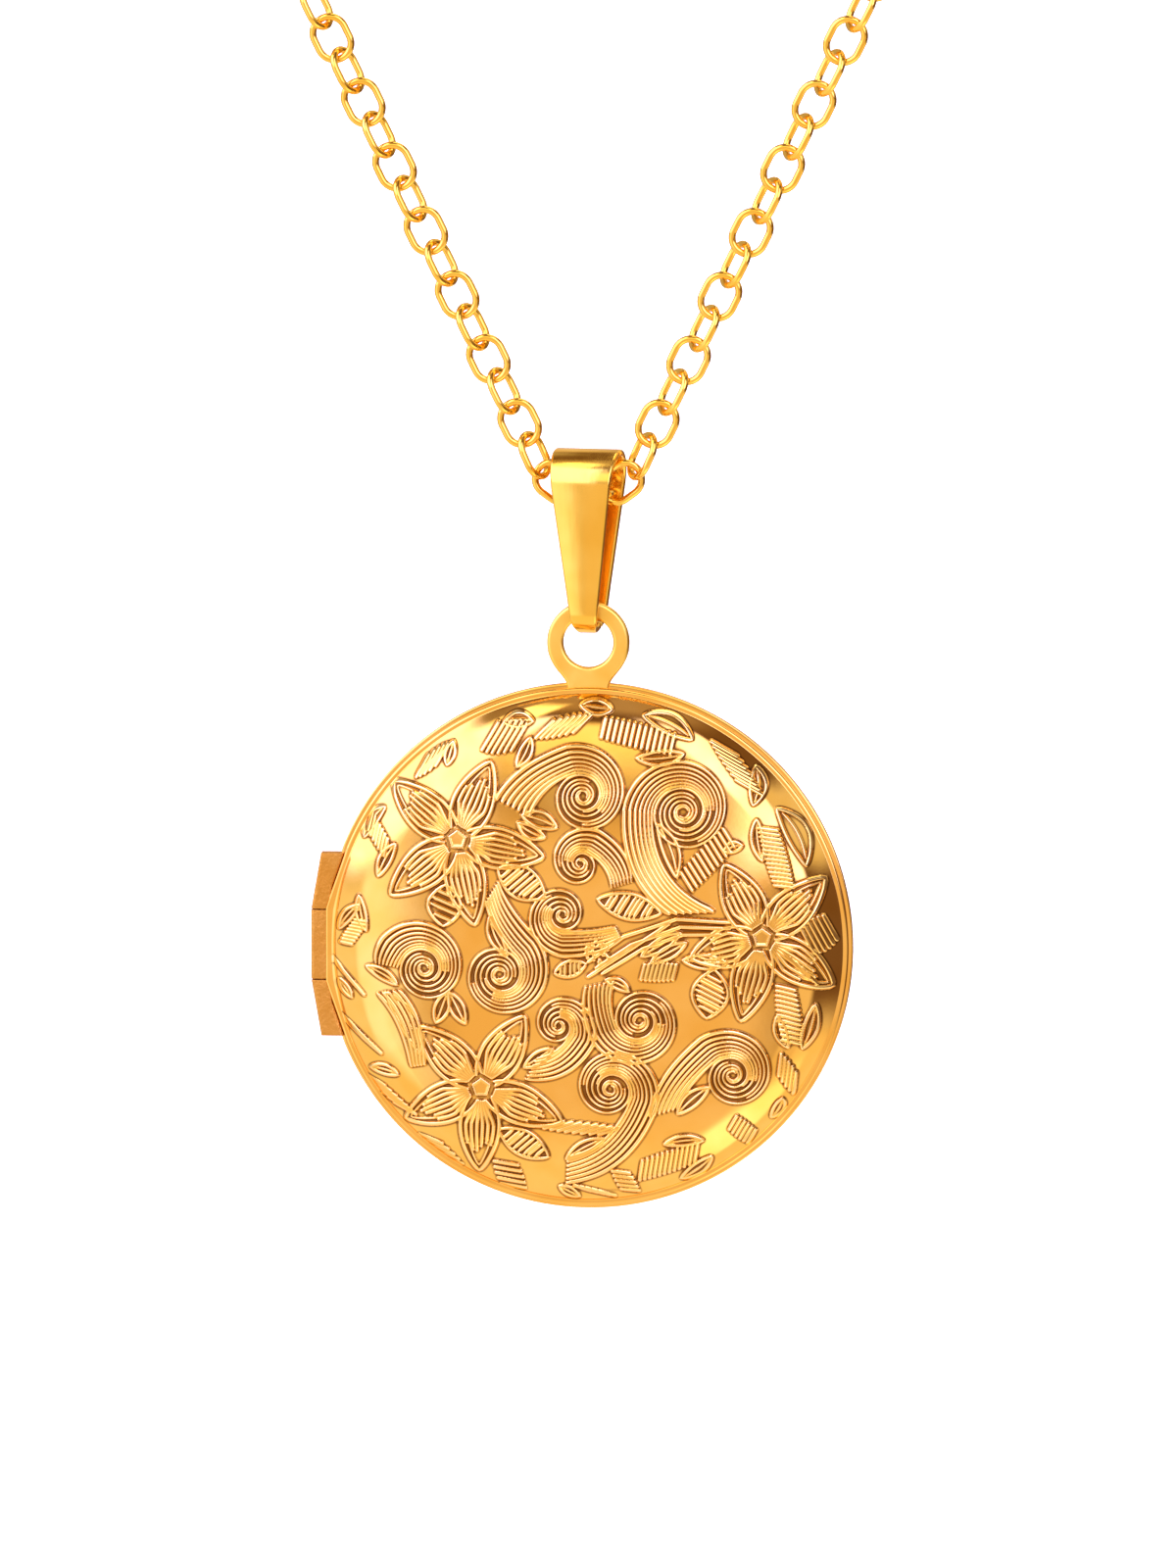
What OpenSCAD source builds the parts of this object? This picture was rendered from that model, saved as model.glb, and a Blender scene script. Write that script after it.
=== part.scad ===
// Round hinged locket on a cable chain.
// Frame: origin at the centre of the bail's eye, +X right, +Z up, -Y towards the front cover.

/* [Case] */
// Diameter of the closed case
case_d = 27; // [25:0.5:29]
// Height of each half's dome above the seam
dome_h = 3.2; // [3:0.1:3.5]
// Thickness of the stamped sheet
sheet_t = 0.4; // [0.3:0.05:0.5]
// Thickness of the flat rim that runs round each half
rim_t = 0.5; // [0.45:0.05:0.55]

/* [Bail] */
// Height of the bail from the eye's centre to the foot's centre
bail_drop = 6.3; // [6.2:0.1:7]
// Inside radius of the eye that the chain runs through
eye_r = 1.5; // [1.45:0.05:1.7]
// Inside radius of the foot that holds the pendant ring
foot_r = 0.88; // [0.86:0.02:0.92]
// Width of the bail's strip at the top of the eye
bail_top_w = 3.5; // [3.2:0.1:3.5]
// Width of the bail's strip at the foot
bail_foot_w = 1.1; // [1:0.1:1.2]
// Thickness of the bail's strip
bail_t = 0.35; // [0.3:0.05:0.4]
// Turn of the bail about the vertical, in degrees
bail_turn = -10; // [-10:1:10]

/* [Chain] */
// Diameter of the link wire
wire_d = 0.37; // [0.33:0.01:0.4]
// Outside length of a link
link_l = 2.62; // [2.58:0.02:2.7]
// Outside width of a link
link_w = 2.06; // [2:0.02:2.1]
// Number of links in each strand
strand_links = 17; // [15:2:19]
// Rise of a strand above the horizontal, in degrees
strand_tilt = 64; // [63:1:66]

/* [Clasp] */
// Radius of the spring clasp's ring, to the middle of its tube
clasp_r = 2.55; // [2.4:0.05:2.8]
// Outside diameter of the clasp tube
clasp_tube_d = 1.04; // [1:0.02:1.1]

/* [Hidden] */
$fn = 64;
gap = 0.05;                      // running clearance between pieces that move
far = 40;                        // larger than any piece, for cutting blocks

gold = "gold";
pale_gold = "khaki";

// Case: each half is drawn on its seam plane, with its dome towards +Z and the pendant ring towards +Y.
case_r = case_d / 2;
ring_outer_r = 2.1;
ring_hole_r = 1.35;
bar_r = (ring_outer_r + ring_hole_r) / 2;
ring_z = -bail_drop - bar_r;      // centre of the pendant ring, whose top bar hangs in the foot
case_z = ring_z - ring_outer_r + 0.02 - case_r;  // centre of the case
front_step = 0.2;                // the front half's rim is this much smaller all round
lip_w = 0.3;                     // width of the front half's flat lip around its dome
shoulder_r = 4.0;                // radius of the dome's rounded shoulder
shoulder_h = -2.0;               // height of the shoulder's centre above the seam
dome_r = case_r - front_step - lip_w;
shoulder_at = dome_r - sqrt(pow(shoulder_r, 2) - pow(rim_t - shoulder_h, 2));
crown_lift = dome_h - shoulder_h;
// The crown is the sphere that touches the shoulder from outside and peaks at dome_h.
crown_r = (pow(shoulder_at, 2) + pow(crown_lift, 2) - pow(shoulder_r, 2)) / (2 * (crown_lift - shoulder_r));
snap_r = case_r - 0.75;          // inside of the rim, where the halves snap together
snap_h = 0.45;
seat_r = case_r - 1.6;           // seat of the photo frame
seat_h = 0.95;

// Hinge: the pin runs up the left edge of the case, in the seam plane.
pin_x = -(case_r + 0.05);
pin_r = 0.2;
barrel_r = 0.5;
hinge_groove_r = 0.72;           // groove that the barrels turn in
knuckle_h = 3.7;                 // height of the middle knuckle
hinge_h = 9.4;                   // height of the three knuckles together
facet_cut = 0.12;                // how far the flat beside the middle knuckle is cut into the rim
facet_half = 1.8;
facet_end = 5.0;                 // where the slanting flats meet the round edge
knuckle_face = 0.6;              // from the pin's axis to the knuckles' outer face
knuckle_slant = 10;              // slant of the outer knuckles' faces, in degrees
leaf_lift = 0.05;                // gap between a leaf and the seam plane

// Pendant ring
ring_t = 0.6;
tab_w = 1.9;

// Chain
link_gap = 0.07;
pitch = link_l - 2 * wire_d - link_gap;
bow_r = (link_w - wire_d) / 2;   // radius of a link's bow, to the middle of the wire
chain_dip = -0.4;                // height of the middle link in the eye
roll_face = 90;                  // a link that faces the front
roll_side = 30;                  // a link turned beside it

jump_wire = 0.46;
jump_r = 1.25;
tag_t = 0.5;
tag_eye_r = 0.8;                 // small hole of the end tag, for its jump ring
tag_hole_r = 1.3;                // large hole, for the clasp
tag_wall = 0.7;
tail_wire = 0.4;
tail_r = 0.75;
tube_bore_r = 0.38;
bolt_r = 0.34;

// ---- Case halves -------------------------------------------------------------------------------

// Puts a half that is drawn on its seam plane in its place.
module front_half() { translate([0, 0, case_z]) rotate([90, 0, 0]) children(); }
module back_half() { translate([0, 0, case_z]) mirror([0, 1, 0]) rotate([90, 0, 0]) children(); }

// Section of the dome from the axis outwards, drawn inset by the sheet's thickness for its inside.
module dome_section(inset) {
    meet_r = shoulder_at * (crown_r - inset) / (crown_r - shoulder_r);
    intersection() {
        translate([0, dome_h - crown_r]) circle(r = crown_r - inset, $fn = 128);
        square([meet_r, dome_h]);
    }
    intersection() {
        translate([shoulder_at, shoulder_h]) circle(r = shoulder_r - inset, $fn = 96);
        square([dome_r + 0.1, dome_h]);
    }
}

// The rim: a disc with three flats beside the hinge.
module rim(r) {
    facet_x = facet_cut - r;
    facet_end_x = -sqrt(pow(r, 2) - pow(facet_end, 2));
    intersection() {
        cylinder(r = r, h = rim_t, $fn = 128);
        translate([0, 0, -1]) linear_extrude(rim_t + 2) polygon([
            [facet_x, facet_half], [facet_end_x, facet_end], [facet_end_x, far], [far, far],
            [far, -far], [facet_end_x, -far], [facet_end_x, -facet_end], [facet_x, -facet_half]
        ]);
    }
}

// The groove that the hinge's barrels turn in.
module hinge_groove() {
    translate([pin_x, hinge_h / 2 + gap, 0]) rotate([90, 0, 0])
        cylinder(r = hinge_groove_r, h = hinge_h + 2 * gap);
}

// The notch that the pendant ring's tab lies in.
module tab_notch(clearance) {
    translate([-tab_w / 2 - clearance, snap_r - 1, -ring_t / 2 - clearance])
        cube([tab_w + 2 * clearance, 2, ring_t + 2 * clearance]);
}

module half_shell(rim_r) {
    difference() {
        union() {
            rim(rim_r);
            rotate_extrude($fn = 128) dome_section(0);
        }
        rotate_extrude($fn = 128) {
            dome_section(sheet_t);
            translate([0, -1]) square([snap_r, snap_h + 1]);
            translate([0, -1]) square([seat_r, seat_h + 1]);
        }
        hinge_groove();
        children();
    }
}

module back_shell() {
    color(gold) back_half() half_shell(case_r) tab_notch(0);
}

module front_shell() {
    color(gold) front_half() half_shell(case_r - front_step) tab_notch(0.12);
}

// ---- What holds the photographs -----------------------------------------------------------------

frame_top = snap_h + 0.02;
frame_base = seat_h - 0.03;
window_t = 0.2;
plate_t = 0.2;
window_h = seat_h;
plate_h = window_h + window_t + 0.02;

module disc(r, h, t) { translate([0, 0, h]) cylinder(r = r, h = t, $fn = 128); }

module photo_frame() {
    rotate_extrude($fn = 128) polygon([
        [seat_r - 0.03, frame_top], [seat_r - 0.03, frame_base], [seat_r - 1.5, frame_base],
        [seat_r - 1.5, frame_base - 0.15], [seat_r - 1.2, frame_top]
    ]);
}

module back_photo_plate() { color(pale_gold) back_half() disc(seat_r - 0.9, plate_h, plate_t); }
module front_photo_plate() { color(pale_gold) front_half() disc(seat_r - 0.9, plate_h, plate_t); }
module back_photo_window() { color("azure", 0.4) back_half() disc(seat_r - 0.4, window_h, window_t); }
module front_photo_window() { color("azure", 0.4) front_half() disc(seat_r - 0.4, window_h, window_t); }
module back_photo_frame() { color(gold) back_half() photo_frame(); }
module front_photo_frame() { color(gold) front_half() photo_frame(); }

// A short lip opposite the hinge, which springs into the front half.
module snap_catch() {
    catch_arc = 36;
    color(gold) back_half() rotate([0, 0, -catch_arc / 2]) rotate_extrude(angle = catch_arc, $fn = 128)
        polygon([
            [snap_r - 0.30, snap_h - 0.02], [snap_r, snap_h - 0.02], [snap_r, 0.02], [snap_r - gap, 0],
            [snap_r - gap, -0.25], [snap_r - 0.12, -0.38], [snap_r - 0.30, -0.38]
        ]);
}

// ---- Hinge ---------------------------------------------------------------------------------------

// A knuckle along the pin: a barrel with a flat outer face, and a leaf that fills the groove of its own half.
module knuckle_bar(low, high, hole_r) {
    edge = barrel_r - 0.02;
    translate([pin_x, high, 0]) rotate([90, 0, 0]) difference() {
        union() {
            cylinder(r = barrel_r, h = high - low);
            linear_extrude(high - low) polygon([
                [0, -edge], [-barrel_r * 0.8, -edge], [-knuckle_face, -0.3],
                [-knuckle_face, 0.3], [-barrel_r * 0.8, edge], [0, edge]
            ]);
            intersection() {
                cylinder(r = hinge_groove_r, h = high - low);
                translate([0, leaf_lift, 0]) cube([hinge_groove_r, hinge_groove_r, high - low]);
            }
        }
        translate([0, 0, -1]) cylinder(r = hole_r, h = high - low + 2);
    }
}

module hinge_knuckle_front() {
    half = knuckle_h / 2 - gap;
    color(gold) front_half() knuckle_bar(-half, half, pin_r + 0.03);
}

// The knuckle above the middle one, with its outer face slanting in and a web out to the rim's flat.
module outer_knuckle() {
    low = knuckle_h / 2;
    high = hinge_h / 2;
    difference() {
        union() {
            knuckle_bar(low, high, pin_r + 0.02);
            difference() {
                translate([pin_x + barrel_r - 0.02, low, leaf_lift]) cube([2, high - low, rim_t - leaf_lift]);
                rim(case_r);
                hinge_groove();
            }
        }
        translate([pin_x - knuckle_face, low, 0]) rotate([0, 0, -knuckle_slant])
            translate([-2, -1, -far / 2]) cube([2, 6, far]);
    }
}

module hinge_knuckle_upper() { color(gold) back_half() outer_knuckle(); }
module hinge_knuckle_lower() { color(gold) back_half() mirror([0, 1, 0]) outer_knuckle(); }

module hinge_pin() {
    color(pale_gold) translate([pin_x, 0, case_z - hinge_h / 2 + 0.1]) cylinder(r = pin_r, h = hinge_h - 0.2);
}

// ---- Pendant ring and bail -----------------------------------------------------------------------

module pendant_ring() {
    color(gold) translate([0, ring_t / 2, case_z]) rotate([90, 0, 0]) difference() {
        union() {
            translate([0, ring_z - case_z, 0]) cylinder(r = ring_outer_r, h = ring_t);
            translate([-tab_w / 2, snap_r + 0.02, 0]) cube([tab_w, case_r - snap_r + 0.25, ring_t]);
        }
        translate([0, ring_z - case_z, -1]) cylinder(r = ring_hole_r, h = ring_t + 2);
    }
}

// Side of the bail, across and up: an arc round the eye and an arc round the foot, joined by straight legs.
function bail_side(grow) =
    let (lean = asin((eye_r - foot_r) / bail_drop), turns = 180 + 2 * lean, step = 5)
    concat(
        [for (a = [-lean:turns / round(turns / step):180 + lean + 0.01])
            (eye_r + grow) * [cos(a), sin(a)]],
        [for (a = [180 + lean:(360 - turns) / 32:360 - lean + 0.01])
            (foot_r + grow) * [cos(a), sin(a)] - [0, bail_drop]]
    );

// A tapered strip folded over the chain and closed round the ring's top bar, with its ends meeting behind.
module bail() {
    top_z = eye_r + bail_t;
    foot_z = -bail_drop - foot_r - bail_t;
    end_gap = 0.1;               // between the strip's two ends
    end_turn = 32;               // where they meet, in degrees round the foot from straight down
    color(gold) rotate([0, 0, bail_turn]) difference() {
        intersection() {
            rotate([90, 0, 90]) linear_extrude(2 * bail_top_w, center = true) difference() {
                polygon(bail_side(bail_t));
                polygon(bail_side(0));
            }
            rotate([90, 0, 0]) linear_extrude(far, center = true) polygon([
                [-bail_foot_w / 2, foot_z - 1], [-bail_top_w / 2, top_z + 1],
                [bail_top_w / 2, top_z + 1], [bail_foot_w / 2, foot_z - 1]
            ]);
        }
        translate([0, 0, -bail_drop]) rotate([end_turn, 0, 0])
            translate([-bail_top_w, -end_gap / 2, -foot_r - 2 * bail_t])
                cube([2 * bail_top_w, end_gap, 3 * bail_t]);
    }
}

// ---- Chain ---------------------------------------------------------------------------------------

// A round wire bent into a ring or a link, flat on XY, with its long side along X.
module wire_loop(r, wire, straight = 0) {
    for (turn = [0, 180]) rotate([0, 0, turn]) {
        translate([straight / 2, 0, 0]) rotate([0, 0, -90])
            rotate_extrude(angle = 180) translate([r, 0]) circle(d = wire, $fn = 24);
        if (straight > 0) translate([-straight / 2, r, 0]) rotate([0, 90, 0])
            cylinder(d = wire, h = straight, $fn = 24);
    }
}

module link() { wire_loop(bow_r, wire_d, link_l - link_w); }

// Rise of link k, counted from the middle link, and the point where it hangs in the link before it.
function link_tilt(k) = k == 1 ? 36 : k == 2 ? 66 : strand_tilt;
function along(tilt, s) = [s * cos(tilt), s * sin(tilt)];
function hang_point(k) = k == 1 ? [pitch / 2, chain_dip]
    : hang_point(k - 1) + along(link_tilt(k - 1), pitch);
function link_centre(k) = hang_point(k) + along(link_tilt(k), pitch / 2);
function strand_end(s) = link_centre(strand_links) + along(strand_tilt, s);

// Puts something that lies along X at a point of the right strand, rolled about its length.
module on_strand(point, tilt, roll) {
    translate([point[0], 0, point[1]]) rotate([0, -tilt, 0]) rotate([roll, 0, 0]) children();
}

module strand() {
    for (k = [1:strand_links])
        on_strand(link_centre(k), link_tilt(k), k % 2 == 1 ? roll_face : roll_side) link();
}

module chain_centre_link() { color(gold) translate([0, 0, chain_dip]) link(); }
module chain_links_right() { color(gold) strand(); }
module chain_links_left() { color(gold) mirror([1, 0, 0]) strand(); }

// ---- End fittings --------------------------------------------------------------------------------

// Distances from the last link's centre: each ring hangs in the bow of the one before.
bow_at = (link_l - wire_d) / 2;
jump_at = bow_at - (wire_d + jump_wire) / 2 - link_gap + jump_r;
tag_at = jump_at + jump_r - jump_wire / 2 - link_gap + tag_eye_r;
tail_at = jump_at + jump_r - (jump_wire + tail_wire) / 2 - link_gap + tail_r;
clasp_at = tail_at + tail_r + clasp_r + clasp_tube_d / 2 - 0.06;

module jump_ring() { on_strand(strand_end(jump_at), strand_tilt, 0) wire_loop(jump_r, jump_wire); }
module jump_ring_right() { color(gold) jump_ring(); }
module jump_ring_left() { color(gold) mirror([1, 0, 0]) jump_ring(); }

// A flat stamped tag, with a small eye on the jump ring and a large hole for the clasp.
module end_tag() {
    hole_at = tag_eye_r + tag_wall + tag_hole_r;
    color(gold) on_strand(strand_end(tag_at), strand_tilt, roll_face) translate([0, 0, -tag_t / 2])
        difference() {
            union() {
                cylinder(r = tag_eye_r + tag_wall, h = tag_t);
                translate([hole_at, 0, 0]) cylinder(r = tag_hole_r + tag_wall, h = tag_t);
            }
            translate([0, 0, -1]) cylinder(r = tag_eye_r, h = tag_t + 2);
            translate([hole_at, 0, -1]) cylinder(r = tag_hole_r, h = tag_t + 2);
        }
}

// Puts a piece of the clasp, drawn about the clasp ring's centre with its tail towards -X, on the left strand.
module at_clasp() {
    mirror([1, 0, 0]) on_strand(strand_end(clasp_at), strand_tilt, roll_face) children();
}

mouth_from = 20;                 // the clasp's mouth, in degrees round the ring
mouth_arc = 62;
bolt_travel = 48;
bolt_tail = 40;                  // how far the bolt reaches into the tube
knob_at = mouth_from - 20;

module tube_arc(from, arc, r) {
    rotate([0, 0, from]) rotate_extrude(angle = arc) translate([clasp_r, 0]) circle(r = r, $fn = 32);
}

module clasp_ring() {
    slot_w = 0.5;
    color(gold) at_clasp() difference() {
        tube_arc(mouth_from + mouth_arc, 360 - mouth_arc, clasp_tube_d / 2);
        tube_arc(mouth_from - 110, 110 + 1, tube_bore_r);
        tube_arc(mouth_from + mouth_arc - 1, 16, tube_bore_r);
        rotate([0, 0, knob_at - bolt_travel - 8]) rotate_extrude(angle = bolt_travel + 16)
            translate([clasp_r, -slot_w / 2]) square([1, slot_w]);
    }
}

module clasp_tail_eye() {
    color(gold) at_clasp() translate([tail_at - clasp_at, 0, 0]) difference() {
        wire_loop(tail_r, tail_wire);
        translate([clasp_at - tail_at, 0, 0]) tube_arc(150, 60, clasp_tube_d / 2);
    }
}

module clasp_bolt() {
    color(gold) at_clasp() {
        tube_arc(mouth_from - bolt_tail, bolt_tail + mouth_arc + 6, bolt_r);
        rotate([0, 0, knob_at]) translate([clasp_r, 0, 0]) rotate([0, 90, 0]) cylinder(r = 0.2, h = 0.95);
    }
}

// A helix of fine wire that follows the tube, between the bolt's tail and the tube's blind end.
module clasp_spring() {
    from = mouth_from - 109;
    arc = 109 - bolt_tail - 2;
    turns = 9;
    steps = 90;
    sides = 8;
    coil_r = 0.24;
    spring_wire_r = 0.05;
    function round_tube(a, rr, h) = [(clasp_r + rr) * cos(a), (clasp_r + rr) * sin(a), h];
    function coil_point(i) = round_tube(from + arc * i / steps, coil_r * cos(360 * turns * i / steps),
                                        coil_r * sin(360 * turns * i / steps));
    function unit(v) = v / norm(v);
    rings = [for (i = [0:steps])
        let (here = coil_point(i), way = unit(coil_point(i + 0.5) - coil_point(i - 0.5)),
             out = unit(here - round_tube(from + arc * i / steps, 0, 0)),
             side = unit(cross(way, out)))
        for (s = [0:sides - 1])
            here + spring_wire_r * (cos(360 * s / sides) * out + sin(360 * s / sides) * side)];
    color("silver") at_clasp() polyhedron(points = rings, faces = concat(
        [[for (s = [0:sides - 1]) s]],
        [for (i = [0:steps - 1]) for (s = [0:sides - 1])
            let (a = i * sides + s, b = i * sides + (s + 1) % sides) [a, a + sides, b + sides, b]],
        [[for (s = [sides - 1:-1:0]) steps * sides + s]]));
}

chain_centre_link();
chain_links_left();
chain_links_right();
jump_ring_left();
jump_ring_right();
end_tag();
clasp_ring();
clasp_tail_eye();
clasp_bolt();
clasp_spring();
bail();
pendant_ring();
back_shell();
back_photo_plate();
back_photo_window();
back_photo_frame();
snap_catch();
front_shell();
front_photo_plate();
front_photo_window();
front_photo_frame();
hinge_knuckle_front();
hinge_knuckle_upper();
hinge_knuckle_lower();
hinge_pin();
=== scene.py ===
"""The looks of a round engraved locket that hangs on a fine cable chain."""

import math
from itertools import chain

import bpy
import numpy as np
from mathutils import Matrix, Vector


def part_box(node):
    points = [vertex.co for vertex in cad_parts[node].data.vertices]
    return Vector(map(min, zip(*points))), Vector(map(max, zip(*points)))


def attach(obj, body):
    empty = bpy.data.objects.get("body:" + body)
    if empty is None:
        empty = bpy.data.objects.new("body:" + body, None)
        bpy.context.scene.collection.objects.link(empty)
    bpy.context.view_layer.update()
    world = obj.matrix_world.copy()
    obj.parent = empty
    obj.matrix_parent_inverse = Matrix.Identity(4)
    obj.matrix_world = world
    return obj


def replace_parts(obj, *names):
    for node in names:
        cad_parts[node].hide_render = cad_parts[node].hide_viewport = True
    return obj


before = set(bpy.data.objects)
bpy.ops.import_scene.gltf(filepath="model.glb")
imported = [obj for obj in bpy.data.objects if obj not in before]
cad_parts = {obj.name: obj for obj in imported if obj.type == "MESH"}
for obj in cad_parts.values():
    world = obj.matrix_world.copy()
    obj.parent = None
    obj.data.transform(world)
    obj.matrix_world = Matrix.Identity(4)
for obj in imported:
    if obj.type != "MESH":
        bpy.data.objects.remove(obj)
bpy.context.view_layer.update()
MM = 0.001

# ---- Places and sizes, in metres, from the frame ----

back_low, back_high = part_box("back_shell")
ring_low, ring_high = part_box("pendant_ring")
pin_low, pin_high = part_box("hinge_pin")
middle_low, middle_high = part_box("hinge_knuckle_front")

CASE_Z = (back_low[2] + back_high[2]) / 2  # centre of the case
BACK_R = back_high[0]  # rim of the back half
FRONT_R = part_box("front_shell")[1][0]  # rim of the front half
DOME_H = back_high[1]  # height of each dome above the seam
RIM_T = 0.5 * MM  # height of each rim above the seam
LIP_W = 0.3 * MM  # width of the flat lip outside the dome
DOME_R = FRONT_R - LIP_W  # where each dome meets its rim
SHOULDER_R = 4.0 * MM  # radius of the dome's round shoulder, in section
SHOULDER_H = -2.0 * MM  # height of the shoulder's centre
SHOULDER_AT = DOME_R - math.sqrt(SHOULDER_R ** 2 - (RIM_T - SHOULDER_H) ** 2)
CROWN_LIFT = DOME_H - SHOULDER_H
CROWN_R = (SHOULDER_AT ** 2 + CROWN_LIFT ** 2 - SHOULDER_R ** 2) / (2 * (CROWN_LIFT - SHOULDER_R))
CROWN_END = SHOULDER_AT * CROWN_R / (CROWN_R - SHOULDER_R)  # where the crown runs into the shoulder
SHEET_T = 0.4 * MM  # thickness of the stamped sheet
SEAT = 11.9  # radius of the photo frames' seat, in millimetres
RIM_INNER = 12.5 * MM  # what lies outside this belongs to the rim

PIN_X = (pin_low[0] + pin_high[0]) / 2
PIN_HALF = 3.6 * MM  # half the pin's length
HINGE_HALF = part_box("hinge_knuckle_upper")[1][2] - CASE_Z  # half the height of the three knuckles
MIDDLE_HALF = middle_high[2] - CASE_Z
BARREL_R = 0.43 * MM
FLAT_X = PIN_X + 0.1 * MM  # the rim's flat beside the middle knuckle
FLAT_HALF = MIDDLE_HALF  # half its height
FLAT_END = 5.0 * MM  # where the slanting flats meet the round edge

RING_R = ring_high[0]
RING_Z = ring_high[2] - RING_R
RING_T = ring_high[1] - ring_low[1]
RING_HOLE_R = 1.27 * MM

# ---- Camera ----

VIEW_H = 79.8 * MM  # height of what the camera sees at its target
CAMERA_TARGET = (-0.02 * MM, 0, -15.3 * MM)
CAMERA_DISTANCE = 0.8
CAMERA_AZIMUTH, CAMERA_ELEVATION = 4, 7


def direction(azimuth, elevation):
    """Unit vector towards a camera: azimuth 0 is in front (-Y), and it grows towards +X."""
    a, e = math.radians(azimuth), math.radians(elevation)
    return Vector((math.sin(a) * math.cos(e), -math.cos(a) * math.cos(e), math.sin(e)))


def make_camera():
    towards = direction(CAMERA_AZIMUTH, CAMERA_ELEVATION)
    data = bpy.data.cameras.new("camera")
    data.sensor_fit = "VERTICAL"
    data.angle = 2 * math.atan(VIEW_H / 2 / CAMERA_DISTANCE)
    data.clip_start = 0.01
    camera = bpy.data.objects.new("camera", data)
    camera.location = Vector(CAMERA_TARGET) + towards * CAMERA_DISTANCE
    camera.rotation_euler = towards.to_track_quat("Z", "Y").to_euler()
    bpy.context.scene.collection.objects.link(camera)
    bpy.context.scene.camera = camera


# ---- Mesh helpers ----


def add_mesh(name, verts, faces, material, body=None):
    mesh = bpy.data.meshes.new(name)
    sizes = np.array([len(face) for face in faces], np.int32)
    mesh.vertices.add(len(verts))
    mesh.vertices.foreach_set("co", np.asarray(verts, np.float32).ravel())
    mesh.loops.add(int(sizes.sum()))
    mesh.loops.foreach_set("vertex_index", np.fromiter(chain.from_iterable(faces), np.int32))
    mesh.polygons.add(len(faces))
    mesh.polygons.foreach_set("loop_start", np.cumsum(sizes) - sizes)
    mesh.update(calc_edges=True)
    mesh.shade_smooth()
    mesh.materials.append(material)
    mesh.update()
    piece = bpy.data.objects.new(name, mesh)
    bpy.context.scene.collection.objects.link(piece)
    if body:
        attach(piece, body)
    return piece


def grid_faces(rows, columns, close_rows=False, close_columns=False, start=0):
    """Quads of a rows x columns grid of vertices, wrapped round in either direction."""
    r = np.arange(rows if close_rows else rows - 1)
    c = np.arange(columns if close_columns else columns - 1)
    r, c = np.meshgrid(r, c, indexing="ij")
    r2, c2 = (r + 1) % rows, (c + 1) % columns
    quads = np.stack([r * columns + c, r * columns + c2, r2 * columns + c2, r2 * columns + c], axis=-1)
    return (quads.reshape(-1, 4) + start).tolist()


def sweep(path, sections, closed=False, up=(0, 1, 0)):
    """Verts and faces of a section carried along a path; sections is one (n, 2) outline or one a point."""
    path = np.asarray(path, float)
    count = len(path)
    if closed:
        way = np.roll(path, -1, 0) - np.roll(path, 1, 0)
    else:
        way = np.gradient(path, axis=0)
    way /= np.linalg.norm(way, axis=1)[:, None]
    side = np.cross(way, np.asarray(up, float))
    side /= np.linalg.norm(side, axis=1)[:, None]
    over = np.cross(side, way)
    sections = np.asarray(sections, float)
    if sections.ndim == 2:
        sections = np.repeat(sections[None], count, 0)
    verts = path[:, None] + sections[..., :1] * side[:, None] + sections[..., 1:] * over[:, None]
    sides = sections.shape[1]
    faces = grid_faces(count, sides, close_rows=closed, close_columns=True)
    if not closed:
        faces.append(list(range(sides)))
        faces.append([(count - 1) * sides + i for i in reversed(range(sides))])
    return verts.reshape(-1, 3), faces


def circle_outline(r, sides):
    a = np.linspace(0, 2 * np.pi, sides, endpoint=False)
    return np.stack([r * np.cos(a), r * np.sin(a)], axis=1)


def rounded_outline(width, height, r, corner=4):
    """A rectangle with rounded corners, as points round its centre."""
    points = []
    for k, (sx, sy) in enumerate([(1, 1), (-1, 1), (-1, -1), (1, -1)]):
        for i in range(corner + 1):
            a = math.radians(90 * k + 90 * i / corner)
            points.append((sx * (width / 2 - r) + r * math.cos(a), sy * (height / 2 - r) + r * math.sin(a)))
    return np.array(points)


def join_parts(parts):
    """One list of verts and faces from several."""
    verts, faces, start = [], [], 0
    for part_verts, part_faces in parts:
        verts.append(np.asarray(part_verts, float))
        faces += [[i + start for i in face] for face in part_faces]
        start += len(part_verts)
    return np.concatenate(verts), faces


def place(verts, matrix):
    m = np.array(matrix)
    return np.asarray(verts) @ m[:3, :3].T + m[:3, 3]


def lathe(profile, segments=192):
    """A closed outline of (radius, depth) turned about the case's axis; depth runs towards -Y."""
    a = np.linspace(0, 2 * np.pi, segments, endpoint=False)
    profile = np.asarray(profile, float)
    r, depth = profile[:, 0][None], profile[:, 1][None]
    x = r * np.cos(a)[:, None]
    z = CASE_Z + r * np.sin(a)[:, None]
    verts = np.stack([x, np.broadcast_to(-depth, x.shape), z], axis=-1).reshape(-1, 3)
    return verts, grid_faces(segments, len(profile), close_rows=True, close_columns=True)


def mirrored(verts, faces):
    """The same piece on the other half of the case."""
    return np.asarray(verts) * (1, -1, 1), [list(reversed(face)) for face in faces]


# ---- Materials ----


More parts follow.
